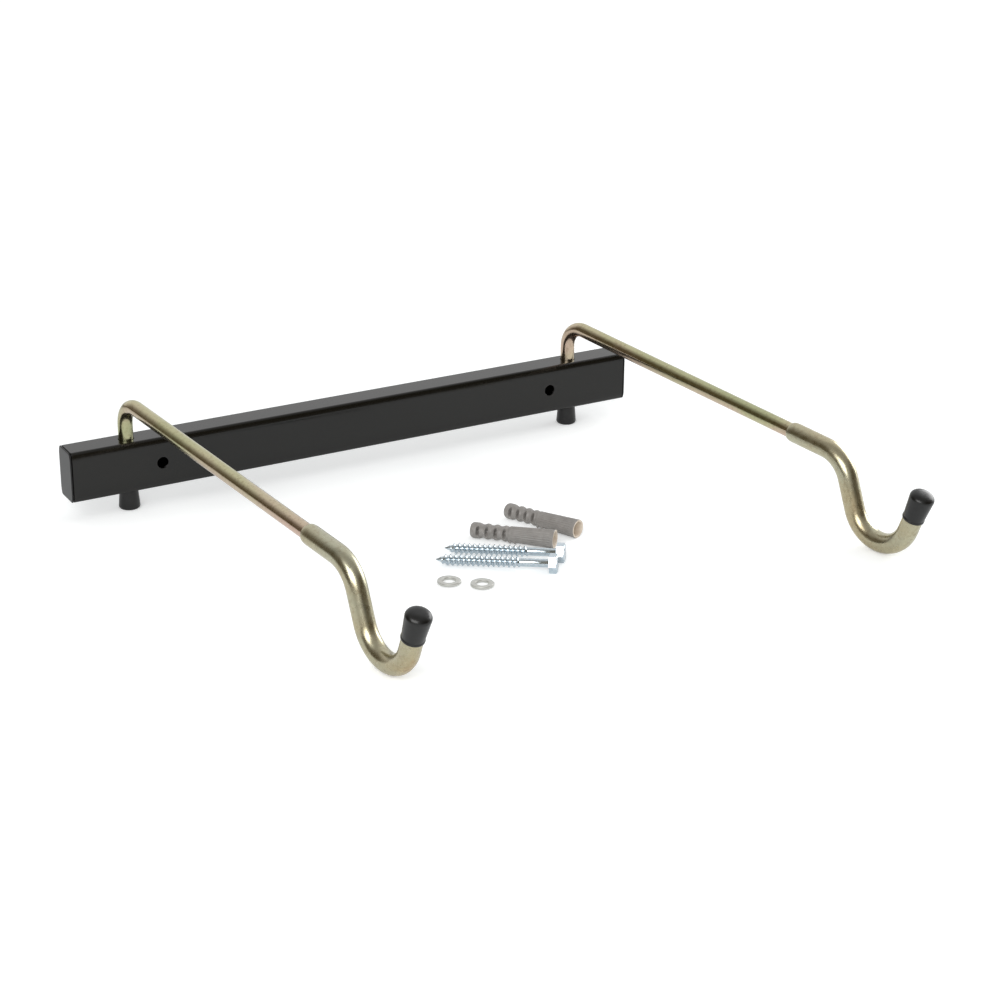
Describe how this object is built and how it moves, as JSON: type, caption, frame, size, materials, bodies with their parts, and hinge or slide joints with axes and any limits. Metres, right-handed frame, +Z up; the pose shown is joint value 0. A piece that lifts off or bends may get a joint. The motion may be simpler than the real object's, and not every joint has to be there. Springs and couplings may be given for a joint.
{
  "type": "bike wall rack",
  "caption": "Wall rack for bikes: a black rectangular wall bar with swinging zinc-plated arms that end in open hooks, with its loose lag screws, plugs and spring washers.",
  "frame": {"origin": "centre of the wall bar's back face, which lies on the wall", "axes": "+X along the bar, +Y into the wall, +Z up; the arms point along -Y"},
  "size_m": [0.5208, 0.4006, 0.0917],
  "materials": {
    "black_paint": "semi-gloss powder coat",
    "black_plastic": "satin moulded",
    "black_pvc": "matte dipped vinyl",
    "yellow_zinc": "bright, yellow passivated zinc",
    "bright_zinc": "bright, blue passivated zinc",
    "grey_nylon": "satin moulded nylon"
  },
  "bodies": {
    "wall_bar": {"wall_bar": "black_paint", "end_cap_left": "black_plastic", "end_cap_right": "black_plastic", "lag_screw_front": "bright_zinc", "lag_screw_rear": "bright_zinc", "wall_plug_front": "grey_nylon", "wall_plug_rear": "grey_nylon", "washer_left": "bright_zinc", "washer_right": "bright_zinc"},
    "left_arm": {"arm_rod_left": "yellow_zinc", "hook_tube_left": "yellow_zinc", "hook_cap_left": "black_pvc", "foot_cap_left": "black_pvc"},
    "right_arm": {"arm_rod_right": "yellow_zinc", "hook_tube_right": "yellow_zinc", "hook_cap_right": "black_pvc", "foot_cap_right": "black_pvc"}
  },
  "joints": [
    {"name": "left_swing", "type": "hinge", "parent": "wall_bar", "child": "left_arm", "pos_m": [-0.195, -0.0125, 0], "axis": [0, 0, 1], "range_deg": [-97.8, 19.2]},
    {"name": "right_swing", "type": "hinge", "parent": "wall_bar", "child": "right_arm", "pos_m": [0.195, -0.0125, 0], "axis": [0, 0, 1], "range_deg": [-37.9, 79.1]}
  ]
}
